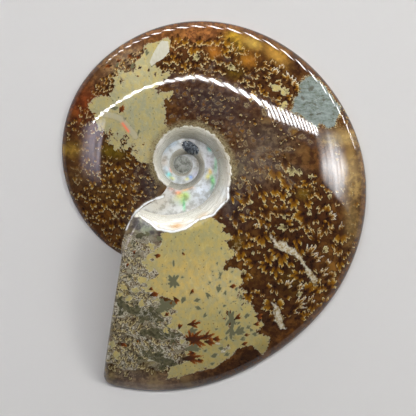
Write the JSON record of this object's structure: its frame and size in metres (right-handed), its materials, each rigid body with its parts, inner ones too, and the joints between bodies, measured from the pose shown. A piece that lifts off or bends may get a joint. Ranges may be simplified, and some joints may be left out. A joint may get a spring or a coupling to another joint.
{
  "type": "ammonite fossil half",
  "caption": "Polished half of a spiral fossil shell, sawn flat along its middle, with a domed patterned side, a sunken pearly eye and a blunt straight mouth.",
  "frame": {"origin": "centre of the coil, on the flat saw cut", "axes": "+Z out of the domed side, square to the saw cut; +Y along the longest way across the outline, from the mouth towards the opposite side; +X towards the wide side of the last whorl, right of the mouth when looking down on the dome"},
  "size_m": [0.1234, 0.1501, 0.0204],
  "materials": {
    "polished_fossil": "polished dark brown and amber calcite with cream frilled suture lines, khaki shell patches and a pearly eye"
  },
  "bodies": {
    "root": {"ammonite": "polished_fossil"}
  },
  "joints": []
}
